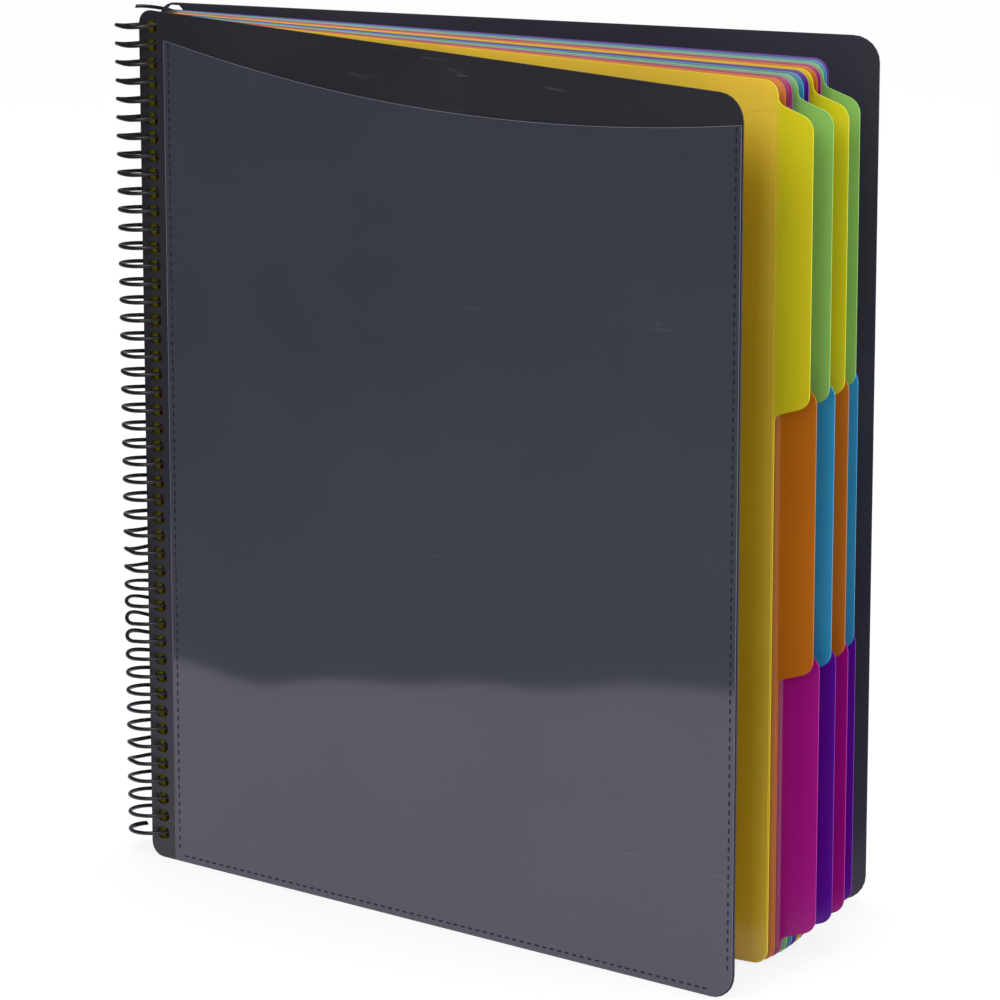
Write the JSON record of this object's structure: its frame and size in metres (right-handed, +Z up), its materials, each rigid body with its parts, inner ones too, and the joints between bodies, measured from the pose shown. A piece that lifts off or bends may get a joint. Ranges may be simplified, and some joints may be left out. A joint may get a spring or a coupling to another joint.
{
  "type": "project organizer",
  "caption": "Spiral-bound project organizer with poly covers and coloured tabbed pocket dividers, standing fanned open on its bottom edges.",
  "frame": {"origin": "middle of the footprint, on the surface that the organizer stands on", "axes": "+Z up along the coil and the bound edges; +X from the coil towards the free edges; -Y towards the front cover"},
  "size_m": [0.2556, 0.1688, 0.3],
  "materials": {
    "cover_poly": "satin",
    "clear_film": "glossy film",
    "coil_wire": "black coating",
    "poly_yellow": "translucent satin",
    "poly_orange": "translucent satin",
    "poly_magenta": "translucent satin",
    "poly_green": "translucent satin",
    "poly_blue": "translucent satin",
    "poly_purple": "translucent satin"
  },
  "bodies": {
    "coil": {"coil": "coil_wire"},
    "front_cover": {"front_cover": "cover_poly", "front_cover_pocket": "clear_film"},
    "divider_01": {"divider_01": "poly_yellow", "divider_01_front_pocket": "poly_yellow", "divider_01_back_pocket": "poly_yellow"},
    "divider_02": {"divider_02": "poly_orange", "divider_02_front_pocket": "poly_orange", "divider_02_back_pocket": "poly_orange"},
    "divider_03": {"divider_03": "poly_magenta", "divider_03_front_pocket": "poly_magenta", "divider_03_back_pocket": "poly_magenta"},
    "divider_04": {"divider_04": "poly_green", "divider_04_front_pocket": "poly_green", "divider_04_back_pocket": "poly_green"},
    "divider_05": {"divider_05": "poly_blue", "divider_05_front_pocket": "poly_blue", "divider_05_back_pocket": "poly_blue"},
    "divider_06": {"divider_06": "poly_purple", "divider_06_front_pocket": "poly_purple", "divider_06_back_pocket": "poly_purple"},
    "divider_07": {"divider_07": "poly_yellow", "divider_07_front_pocket": "poly_yellow", "divider_07_back_pocket": "poly_yellow"},
    "divider_08": {"divider_08": "poly_orange", "divider_08_front_pocket": "poly_orange", "divider_08_back_pocket": "poly_orange"},
    "divider_09": {"divider_09": "poly_magenta", "divider_09_front_pocket": "poly_magenta", "divider_09_back_pocket": "poly_magenta"},
    "divider_10": {"divider_10": "poly_green", "divider_10_front_pocket": "poly_green", "divider_10_back_pocket": "poly_green"},
    "divider_11": {"divider_11": "poly_blue", "divider_11_front_pocket": "poly_blue", "divider_11_back_pocket": "poly_blue"},
    "divider_12": {"divider_12": "poly_purple", "divider_12_front_pocket": "poly_purple", "divider_12_back_pocket": "poly_purple"},
    "back_cover": {"back_cover": "cover_poly"}
  },
  "joints": [
    {"name": "front_cover_turn", "type": "hinge", "parent": "coil", "child": "front_cover", "pos_m": [-0.11678, 0.0734, 0], "axis": [0, 0, -1], "range_deg": [-20, 80]},
    {"name": "divider_01_turn", "type": "hinge", "parent": "coil", "child": "divider_01", "pos_m": [-0.11678, 0.0734, 0], "axis": [0, 0, -1], "range_deg": [-12.9, 51.57]},
    {"name": "divider_02_turn", "type": "hinge", "parent": "coil", "child": "divider_02", "pos_m": [-0.11678, 0.0734, 0], "axis": [0, 0, -1], "range_deg": [-12.33, 49.3]},
    {"name": "divider_03_turn", "type": "hinge", "parent": "coil", "child": "divider_03", "pos_m": [-0.11678, 0.0734, 0], "axis": [0, 0, -1], "range_deg": [-11.77, 47.04]},
    {"name": "divider_04_turn", "type": "hinge", "parent": "coil", "child": "divider_04", "pos_m": [-0.11678, 0.0734, 0], "axis": [0, 0, -1], "range_deg": [-11.2, 44.78]},
    {"name": "divider_05_turn", "type": "hinge", "parent": "coil", "child": "divider_05", "pos_m": [-0.11678, 0.0734, 0], "axis": [0, 0, -1], "range_deg": [-10.64, 42.52]},
    {"name": "divider_06_turn", "type": "hinge", "parent": "coil", "child": "divider_06", "pos_m": [-0.11678, 0.0734, 0], "axis": [0, 0, -1], "range_deg": [-10.07, 40.25]},
    {"name": "divider_07_turn", "type": "hinge", "parent": "coil", "child": "divider_07", "pos_m": [-0.11678, 0.0734, 0], "axis": [0, 0, -1], "range_deg": [-9.5, 37.99]},
    {"name": "divider_08_turn", "type": "hinge", "parent": "coil", "child": "divider_08", "pos_m": [-0.11678, 0.0734, 0], "axis": [0, 0, -1], "range_deg": [-8.94, 35.73]},
    {"name": "divider_09_turn", "type": "hinge", "parent": "coil", "child": "divider_09", "pos_m": [-0.11678, 0.0734, 0], "axis": [0, 0, -1], "range_deg": [-8.37, 33.46]},
    {"name": "divider_10_turn", "type": "hinge", "parent": "coil", "child": "divider_10", "pos_m": [-0.11678, 0.0734, 0], "axis": [0, 0, -1], "range_deg": [-7.81, 31.2]},
    {"name": "divider_11_turn", "type": "hinge", "parent": "coil", "child": "divider_11", "pos_m": [-0.11678, 0.0734, 0], "axis": [0, 0, -1], "range_deg": [-7.24, 28.94]},
    {"name": "divider_12_turn", "type": "hinge", "parent": "coil", "child": "divider_12", "pos_m": [-0.11678, 0.0734, 0], "axis": [0, 0, -1], "range_deg": [-6.68, 26.68]},
    {"name": "back_cover_turn", "type": "hinge", "parent": "coil", "child": "back_cover", "pos_m": [-0.11678, 0.0734, 0], "axis": [0, 0, 1], "range_deg": [0, 80]}
  ],
  "couplings": [
    {"joint": "divider_01_turn", "follows": "front_cover_turn", "ratio": 0.64444},
    {"joint": "divider_02_turn", "follows": "front_cover_turn", "ratio": 0.61616},
    {"joint": "divider_03_turn", "follows": "front_cover_turn", "ratio": 0.58788},
    {"joint": "divider_04_turn", "follows": "front_cover_turn", "ratio": 0.5596},
    {"joint": "divider_05_turn", "follows": "front_cover_turn", "ratio": 0.53131},
    {"joint": "divider_06_turn", "follows": "front_cover_turn", "ratio": 0.50303},
    {"joint": "divider_07_turn", "follows": "front_cover_turn", "ratio": 0.47475},
    {"joint": "divider_08_turn", "follows": "front_cover_turn", "ratio": 0.44647},
    {"joint": "divider_09_turn", "follows": "front_cover_turn", "ratio": 0.41818},
    {"joint": "divider_10_turn", "follows": "front_cover_turn", "ratio": 0.3899},
    {"joint": "divider_11_turn", "follows": "front_cover_turn", "ratio": 0.36162},
    {"joint": "divider_12_turn", "follows": "front_cover_turn", "ratio": 0.33333}
  ]
}
